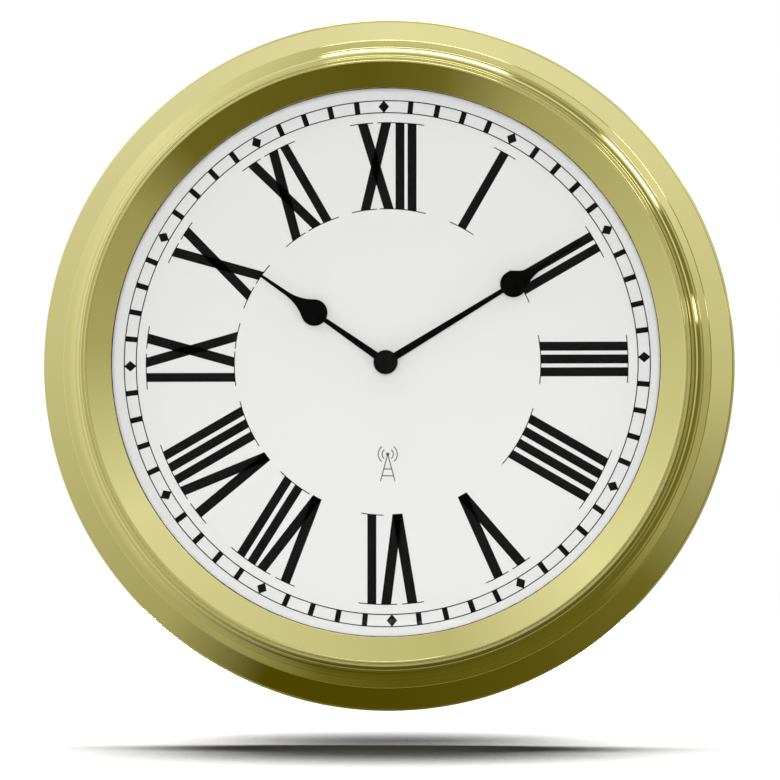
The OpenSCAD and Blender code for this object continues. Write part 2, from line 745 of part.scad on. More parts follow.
tube_step = 0.3;
tube_out = 0.2;
collet_l = 1.4;
module hour_wheel() {
    turn = mesh_phase(motion_dir + 180, leaf_n, 0, hour_n);
    hung() color("ivory") difference() {
        union() {
            at([0, 0], hour_h) gear(hour_n, wheel_t, turn);
            at([0, 0], hour_h + wheel_t - eps) cylinder(r = tube_r, h = hour_hand_h - hour_h - wheel_t + eps);
            at([0, 0], hour_hand_h - eps) cylinder(r = tube_r - tube_step, h = hand_t + tube_out);
        }
        at([0, 0], hour_h - 1) cylinder(r = arbor_r + bearing_play, h = minute_hand_h - hour_h);
    }
}

module hour_collet() {
    hung() color("goldenrod") at([0, 0], hour_hand_h - collet_l) tube(collet_r, tube_r, collet_l);
}

// A wheel with its pinion and pivots: the pinion may lie above or below the wheel
stem_foot_h = move_in_h + cover_boss_l + shoulder_gap;
module reduction(p, n, wheel_h, pinion_from, pinion_to, turn) {
    at(p, wheel_h) wheel(n, 4);
    at(p, pinion_from) gear(leaf_n, pinion_to - pinion_from, turn);
    at(p, stem_foot_h) cylinder(r = pivot_r + stem_wall, h = plate_h - pivot_l - shoulder_gap - stem_foot_h,
                                $fn = 48);
    at(p, pivot_foot_h) cylinder(r = pivot_r, h = pivot_top_h - pivot_foot_h, $fn = 48);
}
module second_wheel() {
    turn = mesh_phase(second_dir, centre_n, 0, leaf_n);
    hung() color("ivory")
        reduction(second_at, second_n, second_h, second_h + wheel_t - eps,
                  centre_h + wheel_t + tip_gap, turn);
}

module first_wheel() {
    turn = mesh_phase(first_dir, second_n, 0, leaf_n);
    hung() color("ivory")
        reduction(first_at, first_n, first_h, second_h - tip_gap, second_h + wheel_t + tip_gap, turn);
}

magnet_out = 0.9;
pinion_gap = 0.5;
module rotor() {
    turn = mesh_phase(rotor_dir, first_n, 0, leaf_n);
    hung() color("ivory") {
        at(rotor_at, first_h - tip_gap)
            gear(leaf_n, stator_h - magnet_out - pinion_gap - first_h + tip_gap, turn);
        at(rotor_at, stem_foot_h)
            cylinder(r = pivot_r + stem_wall, h = plate_h - rotor_pivot_l - shoulder_gap - stem_foot_h,
                     $fn = 48);
        at(rotor_at, pivot_foot_h) cylinder(r = pivot_r, h = pivot_top_h - pivot_foot_h, $fn = 48);
    }
}

module rotor_magnet() {
    hung() color("dimgray") at(rotor_at, stator_h - magnet_out)
        tube(magnet_r, pivot_r + stem_wall, sheet_t + 2 * magnet_out);
}

// Stepping motor, drawn with its stator along x and stood upright at the rotor
module motor() {
    hung() at(rotor_at, 0) rotate(90) children();
}
module motor_holes(from) {
    for (s = [-1, 1]) translate([s * (stator_l - tab_w) / 2, 0, from - 1])
        cylinder(r = peg_pin_r + pin_play, h = sheet_t + 2, $fn = 48);
}

module stator() {
    motor() color("silver") difference() {
        translate([-stator_l / 2, -stator_w / 2, stator_h]) cube([stator_l, stator_w, sheet_t]);
        translate([0, 0, stator_h - 1]) cylinder(r = magnet_r + rotor_gap, h = sheet_t + 2, $fn = 48);
        for (s = [-1, 1]) translate([0, s * (stator_w / 2 + 0.1), stator_h - 1])
            cylinder(r = 0.6, h = sheet_t + 2, $fn = 32);
        motor_holes(stator_h);
    }
}

module coil_core() {
    motor() color("gray") difference() {
        union() {
            for (s = [-1, 1])
                translate([s * (stator_l - tab_w) / 2 - tab_w / 2, -coil_off - core_w / 2, core_h])
                    cube([tab_w, coil_off + core_w / 2 + stator_w / 2, sheet_t]);
            translate([-stator_l / 2, -coil_off - core_w / 2, core_h]) cube([stator_l, core_w, sheet_t]);
        }
        motor_holes(core_h);
    }
}

flange_t = 0.8;
coil_len = stator_l - 2 * tab_w - 0.4;
bobbin_share = 0.73;
bobbin_r = bobbin_share * coil_r;
module coil_axis(from) {
    translate([from, -coil_off, core_h + sheet_t / 2]) rotate([0, 90, 0]) children();
}
module coil_bobbin() {
    motor() color("linen") difference() {
        union() {
            coil_axis(-coil_len / 2) cylinder(r = bobbin_r, h = coil_len, $fn = 48);
            for (x = [-coil_len / 2, coil_len / 2 - flange_t])
                coil_axis(x) cylinder(r = coil_r + 0.1, h = flange_t, $fn = 48);
        }
        translate([-coil_len, -coil_off - core_w / 2 - 0.05, core_h - 0.05])
            cube([2 * coil_len, core_w + 0.1, sheet_t + 0.1]);
    }
}

module coil_winding() {
    motor() color("peru") coil_axis(-coil_len / 2 + flange_t)
        tube(coil_r - 0.1, bobbin_r, coil_len - 2 * flange_t);
}

// Circuit board and what stands on it

module circuit_board() {
    hung() color("darkgreen") difference() {
        at([board_x[0], board_y[0]], board_h)
            cube([board_x[1] - board_x[0], board_y[1] - board_y[0], board_t]);
        for (p = board_pegs) at(p, board_h - 1) cylinder(r = peg_pin_r + pin_play, h = board_t + 2, $fn = 48);
    }
}

module control_chip() {
    hung() color([0.08, 0.08, 0.09]) at([button_x, board_y[0] + 2.5 * chip_r], board_h + board_t) intersection() {
        cylinder(r = chip_r, h = chip_t);
        translate([0, 0, chip_t - chip_dome_r]) sphere(r = chip_dome_r);
    }
}

crystal_r = 1.05;
crystal_l = 6;
crystal_pitch = 3.4;
crystal_y = (board_y[0] + board_y[1]) / 2 + 1;
module crystals() {
    hung() color("silver") for (k = [0, 1])
        at([board_x[0] + 2 + crystal_pitch * k, crystal_y], board_h + board_t + crystal_r)
            rotate([-90, 0, 0]) cylinder(r = crystal_r, h = crystal_l, $fn = 48);
}

capacitor_r = 2;
capacitor_l = 4.8;
module capacitor() {
    hung() color("navy") at([board_x[1] - 2 * capacitor_r, crystal_y - 2 * capacitor_r], board_h + board_t)
        cylinder(r = capacitor_r, h = capacitor_l, $fn = 48);
}

module tact_switches() {
    hung() color("dimgray") for (y = button_y) at([button_x, y], board_h - switch_t) difference() {
        translate([-switch_w / 2, -switch_w / 2, 0]) cube([switch_w, switch_w, switch_t]);
        translate([0, 0, -1])
            cylinder(r = plunger_r + plunger_play, h = 1 + plunger_in + button_travel + 0.2, $fn = 48);
    }
}

// Buttons: cap through the rear cover, collar behind it, stem on the plunger
button_out = 0.6;
collar_t = 0.8;
collar_w = 1;
stem_r = 1.5;
plunger_out = 0.9;
plunger_in = 1.6;
plunger_play = 0.1;
collar_h = move_in_h + shoulder_gap;
plunger_foot = board_h - switch_t + plunger_in;
stem_end = board_h - switch_t - plunger_out;
module button_cap(y) {
    at([button_x, y], button_out) cylinder(r = button_r, h = collar_h - button_out + eps, $fn = 48);
    at([button_x, y], collar_h) cylinder(r = button_r + collar_w, h = collar_t, $fn = 48);
    at([button_x, y], collar_h) cylinder(r = stem_r, h = stem_end - collar_h, $fn = 48);
}
module plunger(y) {
    at([button_x, y], stem_end) cylinder(r = plunger_r, h = plunger_foot - stem_end, $fn = 48);
}
module set_button() {
    hung() color("whitesmoke") button_cap(button_y[0]);
}
module receive_button() {
    hung() color("whitesmoke") button_cap(button_y[1]);
}
module set_plunger() {
    hung() color("black") plunger(button_y[0]);
}
module receive_plunger() {
    hung() color("black") plunger(button_y[1]);
}

// Ferrite antenna

module along_y(p, h, len) {
    at(p, h) rotate([90, 0, 0]) translate([0, 0, -len / 2]) children();
}
module antenna_rod() {
    hung() color([0.25, 0.25, 0.27]) along_y(antenna_at, antenna_h, ferrite_l)
        cylinder(r = ferrite_r, h = ferrite_l, $fn = 48);
}

module antenna_winding() {
    hung() color("chocolate") along_y(antenna_at, antenna_h, winding_l)
        tube(winding_r, ferrite_r, winding_l);
}

// Battery and its contacts
module along_x(p, h) {
    at(p, h) rotate([0, 90, 0]) children();
}

module battery() {
    hung() along_x(battery_at - [battery_l / 2, 0], battery_h) {
        color("dimgray") cylinder(r = battery_r, h = battery_l, $fn = 64);
        color("silver") cylinder(r = 2.7, h = battery_l + nub_h, $fn = 48);
    }
}

// A sprung sheet stands in a slot in each end wall; both reach into the bay
module contact_plate(from) {
    at([from, battery_at[1] - contact_w / 2], contact_low)
        cube([contact_t, contact_w, contact_high - contact_low]);
}
module positive_contact() {
    tab = 0.28 * battery_r;
    hung() color("gold") {
        contact_plate(bay_in[1]);
        at([bay_in[1] - nub_room + tip_gap, battery_at[1] - tab], battery_h - tab)
            cube([nub_room - tip_gap + contact_t / 2, 2 * tab, 2 * tab]);
    }
}

module negative_contact() {
    x = bay_in[0] - contact_t / 2;
    tip = battery_off - battery_l / 2 - end_play;
    tip_l = 0.13 * battery_r;
    hung() color("gold") {
        contact_plate(bay_in[0] - contact_t);
        at([0, battery_at[1] - contact_w / 2 + tip_gap], 0) rotate([90, 0, 0]) mirror([0, 0, 1])
            linear_extrude(contact_w - 2 * tip_gap) polygon([
                [x, contact_low + contact_t], [tip - contact_t, battery_h - tip_l + contact_t / 2],
                [tip - contact_t, battery_h + tip_l], [x, contact_high - contact_t],
                [x, contact_high], [tip, battery_h + tip_l + contact_t],
                [tip, battery_h - tip_l], [x, contact_low]]);
    }
}

// Hands: tapered stem, round spade, ogee, needle

ogee_l = 12.5;
needle_w = 1.8;
function ogee(t) = spade_r * 0.8 * pow(1 - t, 2.3) + needle_w / 2 * (1 - pow(1 - t, 2.3));
function half_outline(len, spade_at) = concat(
    [[0, hand_root_w / 2], [spade_at - spade_r, hand_neck_w / 2]],
    [for (i = [0:10]) let (t = i / 10) [spade_at + spade_r * 0.6 + t * ogee_l, ogee(t)]],
    [[len, hand_tip_w / 2]]);
module hand(len, spade_at, bore_r) {
    side = half_outline(len, spade_at);
    difference() {
        union() {
            linear_extrude(hand_t)
                polygon(concat(side, [for (i = [len(side) - 1:-1:0]) [side[i][0], -side[i][1]]]));
            translate([spade_at, 0, 0]) cylinder(r = spade_r, h = hand_t);
            cylinder(r = hub_r, h = hand_t);
        }
        translate([0, 0, -1]) cylinder(r = bore_r, h = hand_t + 2);
    }
}
module hour_hand() {
    hung() color([0.02, 0.02, 0.02]) at([0, 0], hour_hand_h) rotate(90 + hour_angle)
        hand(hour_len, hour_len * hour_spade_share, tube_r - tube_step);
}

module minute_hand() {
    hung() color([0.02, 0.02, 0.02]) at([0, 0], minute_hand_h) rotate(90 + minute_angle)
        hand(minute_len, minute_len * minute_spade_share, thread_r);
}

module cap_nut() {
    dome_r = (cap_r * cap_r + cap_h * cap_h) / (2 * cap_h) + 0.35;
    hung() color([0.03, 0.03, 0.03]) at([0, 0], minute_hand_h + hand_t) difference() {
        intersection() {
            cylinder(r = cap_r, h = cap_h);
            translate([0, 0, cap_h - dome_r]) sphere(r = dome_r);
        }
        translate([0, 0, -1]) cylinder(r = thread_r, h = 1 + cap_h - cap_roof);
    }
}

bezel();
glass();
glass_seal();
spacer_ring();
dial();
case_back();
hanger_insert();
case_screws();
movement_housing();
movement_cover();
movement_screws();
minute_arbor();
centre_wheel();
motion_wheel();
hour_wheel();
hour_collet();
second_wheel();
first_wheel();
rotor();
rotor_magnet();
stator();
coil_core();
coil_bobbin();
coil_winding();
circuit_board();
control_chip();
crystals();
capacitor();
tact_switches();
set_plunger();
receive_plunger();
set_button();
receive_button();
antenna_rod();
antenna_winding();
battery();
positive_contact();
negative_contact();
hour_hand();
minute_hand();
cap_nut();
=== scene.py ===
import json
import math

import bmesh
import bpy
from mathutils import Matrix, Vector


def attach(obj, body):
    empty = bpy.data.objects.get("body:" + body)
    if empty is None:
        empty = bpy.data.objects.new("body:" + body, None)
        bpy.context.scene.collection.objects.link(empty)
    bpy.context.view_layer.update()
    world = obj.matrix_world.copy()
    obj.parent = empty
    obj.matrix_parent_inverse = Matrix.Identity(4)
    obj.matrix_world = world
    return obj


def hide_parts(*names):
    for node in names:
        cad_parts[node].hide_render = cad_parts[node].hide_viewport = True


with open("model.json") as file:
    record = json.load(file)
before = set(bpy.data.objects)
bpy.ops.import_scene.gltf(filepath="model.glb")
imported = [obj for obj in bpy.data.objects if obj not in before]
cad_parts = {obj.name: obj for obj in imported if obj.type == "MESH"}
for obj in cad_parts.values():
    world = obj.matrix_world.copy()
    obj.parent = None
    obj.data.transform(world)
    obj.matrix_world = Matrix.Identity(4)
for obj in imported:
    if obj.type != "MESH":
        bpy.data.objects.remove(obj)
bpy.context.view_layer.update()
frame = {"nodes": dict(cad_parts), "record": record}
nodes = frame["nodes"]


# Places: millimetres in the clock's own frame, x right, y up from the dial's axis, h out from the wall

AXIS_DROP = 102.0


def place(x, y, h):
    """Metres in the shared frame, whose origin is the hanging screw."""
    return Vector((x, -h, y - AXIS_DROP)) / 1000


def turned(radius, clock_deg, h):
    """A point at a clock angle, counted clockwise from twelve."""
    a = math.radians(clock_deg)
    return place(radius * math.sin(a), radius * math.cos(a), h)


def moved(point, *offsets):
    return tuple(point[k] + sum(o[k] for o in offsets) for k in (0, 1))


# Node helpers

def math_node(t, operation, a, b):
    node = t.nodes.new("ShaderNodeMath")
    node.operation = operation
    for socket, value in zip(node.inputs, (a, b)):
        if isinstance(value, (int, float)):
            socket.default_value = value
        else:
            t.links.new(value, socket)
    return node.outputs[0]


def ramp(t, fac, stops):
    """Colours along a factor from 0 to 1."""
    node = t.nodes.new("ShaderNodeValToRGB")
    cells = node.color_ramp.elements
    while len(cells) < len(stops):
        cells.new(0.5)
    for cell, (position, color) in zip(cells, stops):
        cell.position = position
        cell.color = color
    t.links.new(fac, node.inputs["Fac"])
    return node.outputs["Color"]


def span(t, value, edge_from, edge_to, low=0.0, high=1.0):
    """Low to high while the value runs from one edge to the other."""
    node = t.nodes.new("ShaderNodeMapRange")
    node.inputs["From Min"].default_value = edge_from
    node.inputs["From Max"].default_value = edge_to
    node.inputs["To Min"].default_value = low
    node.inputs["To Max"].default_value = high
    t.links.new(value, node.inputs["Value"])
    return node.outputs["Result"]


def blend(t, fac, a, b):
    """Colour a where the factor is 0, colour b where it is 1."""
    node = t.nodes.new("ShaderNodeMix")
    node.data_type = "RGBA"
    t.links.new(fac, node.inputs["Factor"])
    for name, value in (("A", a), ("B", b)):
        if isinstance(value, tuple):
            node.inputs[name].default_value = value
        else:
            t.links.new(value, node.inputs[name])
    return node.outputs["Result"]


def grey(v):
    return (v, v, v, 1)


# Materials

def new_material(name, color, metallic=0.0, roughness=0.5, **sockets):
    m = bpy.data.materials.new(name)
    m.use_nodes = True
    s = m.node_tree.nodes["Principled BSDF"]
    s.inputs["Base Color"].default_value = (*color, 1)
    s.inputs["Metallic"].default_value = metallic
    s.inputs["Roughness"].default_value = roughness
    for socket, value in sockets.items():
        s.inputs[socket.replace("_", " ")].default_value = value
    return m


def add_noise(m, scale, detail=3.0):
    t = m.node_tree
    where = t.nodes.new("ShaderNodeTexCoord")
    noise = t.nodes.new("ShaderNodeTexNoise")
    noise.inputs["Scale"].default_value = scale
    noise.inputs["Detail"].default_value = detail
    t.links.new(where.outputs["Object"], noise.inputs["Vector"])
    return noise.outputs["Fac"]


def vary_roughness(m, scale, low, high):
    """Faint unevenness in the polish."""
    t = m.node_tree
    uneven = span(t, add_noise(m, scale), 0.0, 1.0, low, high)
    t.links.new(uneven, t.nodes["Principled BSDF"].inputs["Roughness"])
    return m


def add_grain(m, scale, depth, strength=0.4):
    """A bump of fine moulded grain."""
    t = m.node_tree
    bump = t.nodes.new("ShaderNodeBump")
    bump.inputs["Strength"].default_value = strength
    bump.inputs["Distance"].default_value = depth
    t.links.new(add_noise(m, scale, 2.0), bump.inputs["Height"])
    t.links.new(bump.outputs["Normal"], t.nodes["Principled BSDF"].inputs["Normal"])
    return m


MOULDED_DEPTH = 0.00005
PAPER_DEPTH = 0.00001


def plastic(name, color, roughness=0.45, grain=900):
    return add_grain(new_material(name, color, 0, roughness), grain, MOULDED_DEPTH)


def metal(name, color, roughness=0.25):
    m = new_material(name, color, 1, roughness)
    return vary_roughness(m, 60, roughness * 0.8, roughness * 1.2)


def paint(name, color, scale, low, high, gloss):
    """Ink or paint, its roughness between low and high."""
    m = new_material(name, color, 0, (low + high) / 2, Specular_IOR_Level=gloss)
    return vary_roughness(m, scale, low, high)


GOLD = (0.80, 0.73, 0.315)
INK = (0.006, 0.006, 0.006)
GREY_INK = (0.11, 0.11, 0.11)
HAND_BLACK = (0.001, 0.001, 0.001)
DIAL_WHITE = (0.80, 0.80, 0.80)
gold = vary_roughness(new_material("gold_film", GOLD, 1, 0.09), 14, 0.06, 0.09)
ink = paint("dial_ink", INK, 400, 0.5, 0.7, 0.1)
grey_ink = paint("grey_ink", GREY_INK, 400, 0.5, 0.7, 0.1)
MATERIALS = {
    "bezel_gold": gold,
    "clear_glass": new_material("clear_glass", (1, 1, 1), 0, 0.0, Transmission_Weight=1.0,
                                IOR=1.2, Specular_IOR_Level=0.06),
    "black_rubber": plastic("black_rubber", (0.02, 0.02, 0.02), 0.7),
    "white_ring": plastic("white_ring", (0.80, 0.80, 0.80), 0.5),
    "dial_white": add_grain(new_material("dial_white", DIAL_WHITE, 0, 0.6), 2500, PAPER_DEPTH),
    "back_black": plastic("back_black", (0.022, 0.022, 0.024), 0.5, 700),
    "screw_steel": metal("screw_steel", (0.62, 0.62, 0.63), 0.3),
    "movement_black": plastic("movement_black", (0.03, 0.03, 0.032), 0.4),
    "cover_black": plastic("cover_black", (0.018, 0.018, 0.02), 0.45, 1100),
    "arbor_steel": metal("arbor_steel", (0.66, 0.66, 0.67), 0.2),
    "wheel_plastic": plastic("wheel_plastic", (0.80, 0.78, 0.71), 0.35),
    "collet_brass": metal("collet_brass", (0.80, 0.62, 0.28), 0.25),
    "magnet_grey": metal("magnet_grey", (0.20, 0.20, 0.21), 0.45),
    "stator_steel": metal("stator_steel", (0.60, 0.60, 0.60), 0.35),
    "bobbin_plastic": plastic("bobbin_plastic", (0.75, 0.70, 0.58), 0.45),
    "copper_wire": metal("copper_wire", (0.72, 0.33, 0.15), 0.3),
    "board_green": plastic("board_green", (0.02, 0.16, 0.07), 0.35),
    "resin_black": plastic("resin_black", (0.015, 0.015, 0.015), 0.25),
    "can_metal": metal("can_metal", (0.75, 0.75, 0.75), 0.2),
    "capacitor_sleeve": plastic("capacitor_sleeve", (0.03, 0.05, 0.18), 0.3),
    "switch_grey": plastic("switch_grey", (0.16, 0.16, 0.16), 0.4),
    "plunger_black": plastic("plunger_black", (0.02, 0.02, 0.02), 0.4),
    "button_white": plastic("button_white", (0.78, 0.78, 0.76), 0.35),
    "ferrite": plastic("ferrite", (0.06, 0.06, 0.065), 0.5, 500),
    "battery_sleeve": plastic("battery_sleeve", (0.05, 0.05, 0.055), 0.3, 200),
    "contact_nickel": metal("contact_nickel", (0.74, 0.71, 0.64), 0.22),
    "hand_black": paint("hand_black", HAND_BLACK, 90, 0.24, 0.36, 0.08),
    "cap_black": paint("cap_black", HAND_BLACK, 200, 0.1, 0.14, 0.12),
}
SLOT_OF = {s["node"]: s["material_slot"] for s in frame["record"]["subparts"]}
NODE_SHARP = 30


def smooth(o, angle):
    """Smooth shading that keeps edges sharper than the angle."""
    for f in o.data.polygons:
        f.use_smooth = True
    o.data.set_sharp_from_angle(angle=math.radians(angle))


for name, o in nodes.items():
    o.data.materials.clear()
    o.data.materials.append(MATERIALS[SLOT_OF[name]])
    smooth(o, NODE_SHARP)

# Light passes the glass, so the dial behind it is lit as in air
nodes["glass"].visible_shadow = False


# Pieces of the visual model

def mesh_from(bm, name):
    bmesh.ops.recalc_face_normals(bm, faces=bm.faces)
    mesh = bpy.data.meshes.new(name)
    bm.to_mesh(mesh)
    bm.free()
    return mesh


def piece(name, mesh, material, body):
    """A new piece of the visual model that rides on a body."""
    o = bpy.data.objects.new(name, mesh)
    bpy.context.scene.collection.objects.link(o)
    mesh.materials.append(material)
    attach(o, body)
    return o


# Bezel: the same section as the solid one, turned finely

CASE_R = 150.0
RIM_DRAFT = 0.7
WALL_RIM = 2.6
RIM_H = 6.0
RIM_ROUND = 6.0
# The rim's rounding ends at this angle, in a nick and a narrow ledge
RIM_ARC = 14
NICK = 0.15
LEDGE = (0.5, 0.2)
FLANGE_W = 10.7
FLANGE_RISE = 15.6
CREASE = 0.5
# Two small steps with a sloped band between them
STEP_UP = 1.4
STEP2_UP = 0.7
STEP_ROUND = 0.6
STEP_LEAN = 0.15
BAND = (2.8, 1.9)
BEVEL = (0.26, 0.23)
# The cove leaves the second step at this slope and ends beside the outer bead
COVE_SLOPE = 38
COVE_IN = 3.6
COVE_END = (0.15, -0.6)
# Crest and cone
OPENING_R = 117.0
CONE_W = 10.0
CREST_H = 40.0
LIP_H = 34.4
LIP_ROUND = 0.35
SEAT_H = 33.6
BEAD_R = 0.62
MID_BEAD_R = 0.3
# Bead centres from the cone's top
OUTER_BEAD = (2 * BEAD_R + 2 * MID_BEAD_R + 0.1, -0.75)
MID_BEAD = (2 * BEAD_R + MID_BEAD_R - 0.25, -0.35)
INNER_BEAD = (BEAD_R - 0.1, -0.25)
# The inside runs about a wall behind the outside, with a skirt down round the dial
WALL = 2.2
SKIRT_IN = 121.4
SKIRT_OUT = 123.4
SKIRT_LOW = 19.6
BEZEL_SEGMENTS = 256
BEZEL_SHARP = 24


def oval(c, a, b, start, end, n):
    steps = [math.radians(start + (end - start) * i / n) for i in range(n + 1)]
    return [(c[0] + a * math.cos(t), c[1] + b * math.sin(t)) for t in steps]


def arc(c, r, start, end, n):
    return oval(c, r, r, start, end, n)


def along(a, b, share):
    return tuple(p + (q - p) * share for p, q in zip(a, b))


def rim_outline():
    """From the wall up round the rim and over its ledge to the flange's lower end."""
    centre = (CASE_R - RIM_ROUND, RIM_H)
    run = (RIM_ROUND - FLANGE_W, FLANGE_RISE)
    flange_angle = math.atan2(run[1], run[0]) - math.acos(RIM_ROUND / math.hypot(*run))
    flange_low = moved(centre, (RIM_ROUND * math.cos(flange_angle), RIM_ROUND * math.sin(flange_angle)))
    points = [(CASE_R - RIM_DRAFT, 0.0)] + arc(centre, RIM_ROUND, 0, RIM_ARC, 6)
    nick = moved(points[-1], (-NICK, NICK))
    ledge = moved(nick, (-LEDGE[0], LEDGE[1]))
    return points + [nick, ledge, moved(ledge, (-0.1, 0.35)), flange_low]


def step_outline(flange_top):
    """Over the crease and the first step, and up the band to the second step's foot."""
    step = moved(flange_top, (-STEP_LEAN, STEP_UP))
    foot = moved(step, (-STEP_ROUND - BAND[0], STEP_ROUND + BAND[1]))
    points = [flange_top, moved(flange_top, (-0.05, -CREASE)), moved(flange_top, (-0.3, -CREASE))]
    points += arc((step[0] - STEP_ROUND, step[1]), STEP_ROUND, 0, 48, 5)
    points.append(moved(points[-1], (-BEVEL[0], BEVEL[1])))
    return points + [moved(points[-1], (-LEDGE[0], LEDGE[1])), foot]


def bezel_section():
    """Closed outline of (radius, height): up the outside to the crest, down the cone, back inside."""
    flange_top = (CASE_R - FLANGE_W, RIM_H + FLANGE_RISE)
    cone_top = (OPENING_R + CONE_W, CREST_H)
    outer_bead, mid_bead, inner_bead = (moved(cone_top, b) for b in (OUTER_BEAD, MID_BEAD, INNER_BEAD))
    outer = rim_outline() + step_outline(flange_top)

    step2 = moved(outer[-1], (-STEP_LEAN, STEP2_UP))
    step2_arc = arc((step2[0] - STEP_ROUND, step2[1]), STEP_ROUND, 0, 90 - COVE_SLOPE, 6)
    cove_start = step2_arc[-1]
    cove_end = moved(outer_bead, (BEAD_R, 0), COVE_END)
    cove_c = (cove_start[0] + COVE_IN, cove_end[1])
    cove_a = cove_c[0] - cove_end[0]
    cove_from = math.degrees(math.acos(COVE_IN / cove_a))
    cove_b = (cove_end[1] - cove_start[1]) / math.sin(math.radians(cove_from))
    outer += step2_arc[:-1] + oval(cove_c, -cove_a, -cove_b, cove_from, 0, 24)

    outer += arc(outer_bead, BEAD_R, -10, 155, 14)
    outer += arc(mid_bead, MID_BEAD_R, 50, 145, 8)
    outer += arc(inner_bead, BEAD_R, 40, 140, 10)

    # Points close to the cone's ends keep its shading even between them
    cone_from = moved(cone_top, (-0.35, -0.2))
    cone_to = (OPENING_R + LIP_ROUND / 2, LIP_H - 0.05)
    outer += [along(cone_from, cone_to, share) for share in (0, 0.04, 0.96)]
    outer += arc((OPENING_R + LIP_ROUND, LIP_H - LIP_ROUND), LIP_ROUND, 120, 180, 6)

    inner = [
        (OPENING_R, SEAT_H),
        (SKIRT_IN, SEAT_H),
        (SKIRT_IN, SKIRT_LOW),
        (SKIRT_OUT, SKIRT_LOW),
        (SKIRT_OUT, SEAT_H),
        (cone_top[0], CREST_H - 1.27 * WALL),
        (outer_bead[0] - 0.6 * WALL, CREST_H - 2 * WALL),
        (cove_start[0] - 0.82 * WALL, cove_start[1] - 1.05 * WALL),
        (flange_top[0] - 0.82 * WALL, flange_top[1] - 0.73 * WALL),
        (CASE_R - WALL_RIM - 0.29 * RIM_DRAFT, 1.2 * RIM_H),
        (CASE_R - WALL_RIM - RIM_DRAFT, 0.0),
    ]
    return outer + inner


def lathe(name, section, segments):
    """A closed ring turned about the dial's axis."""
    bm = bmesh.new()
    rings = [[bm.verts.new(turned(r, 360 * k / segments, h)) for r, h in section]
             for k in range(segments)]
    n = len(section)
    for k in range(segments):
        a, b = rings[k], rings[(k + 1) % segments]
        for i in range(n):
            j = (i + 1) % n
            bm.faces.new((a[i], b[i], b[j], a[j]))
    return mesh_from(bm, name)


bezel_mesh = lathe("bezel_ring", bezel_section(), BEZEL_SEGMENTS)
bezel_ring = piece("bezel_ring", bezel_mesh, gold, "case")
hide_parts("bezel")
smooth(bezel_ring, BEZEL_SHARP)


# Dial print: thin plates of ink just above the dial

DIAL_H = 20.0
INK_LIFT = 0.01
INK_T = 0.04


def ink_plate(bm, outline):
    """One flat plate of ink over a closed outline of (x, y) on the dial."""
    low = [bm.verts.new(place(x, y, DIAL_H + INK_LIFT)) for x, y in outline]
    high = [bm.verts.new(place(x, y, DIAL_H + INK_LIFT + INK_T)) for x, y in outline]
    bm.faces.new(high)
    bm.faces.new(low[::-1])
    for i in range(len(low)):
        j = (i + 1) % len(low)
        bm.faces.new((low[i], low[j], high[j], high[i]))


def swung(x, y, clock_deg):
    """A point of a mark drawn at twelve, swung to its clock angle."""
    a = math.radians(clock_deg)
    return (x * math.cos(a) + y * math.sin(a), y * math.cos(a) - x * math.sin(a))


# Minute ring: two lines, with a bar between them at each minute and a diamond at each hour

RING_IN = 107.9
RING_OUT = 113.1
RING_LINE = 0.45
BAR_W = 2.3
DIAMOND = (4.6, 5.4)
# The marks are printed a little turned, in degrees, and off centre, to the right and up
RING_TURN = -0.91
MARK_DRIFT = (0.65, 0.53)


def ring_line(bm, radius, width, steps=240):
    for k in range(steps):
        a, b = math.radians(360 * k / steps), math.radians(360 * (k + 1) / steps)
        ends = [(radius - width / 2, a), (radius + width / 2, a),
                (radius + width / 2, b), (radius - width / 2, b)]
        ink_plate(bm, [(r * math.sin(t), r * math.cos(t)) for r, t in ends])


def minute_ring(bm):
    ring_line(bm, RING_IN, RING_LINE)
    ring_line(bm, RING_OUT, RING_LINE)
    w, h, mid = BAR_W / 2, DIAMOND[1] / 2, (RING_IN + RING_OUT) / 2
    bar = [(-w, RING_IN), (w, RING_IN), (w, RING_OUT), (-w, RING_OUT)]
    diamond = [(0, mid - h), (DIAMOND[0] / 2, mid), (0, mid + h), (-DIAMOND[0] / 2, mid)]
    for minute in range(60):
        a = math.radians(6 * minute)
        drift = MARK_DRIFT[0] * math.cos(a) - MARK_DRIFT[1] * math.sin(a)
        outline = bar if minute % 5 else diamond
        ink_plate(bm, [swung(x + drift, y, 6 * minute + RING_TURN) for x, y in outline])


# Numerals: stems, slants and hair serifs between two circles of the dial

SERIF_R = (65.9, 103.6)
SERIF_LINE = 0.42
STROKE = 3.85
SLANT_STROKE = 4.25
V_TIP = 0.4
# The numerals' own centre, and how far the inner circle's centre lies from the outer one's
NUMERAL_SHIFT = (0.17, -0.5)
INNER_CENTRE = (0.4, 0.5)

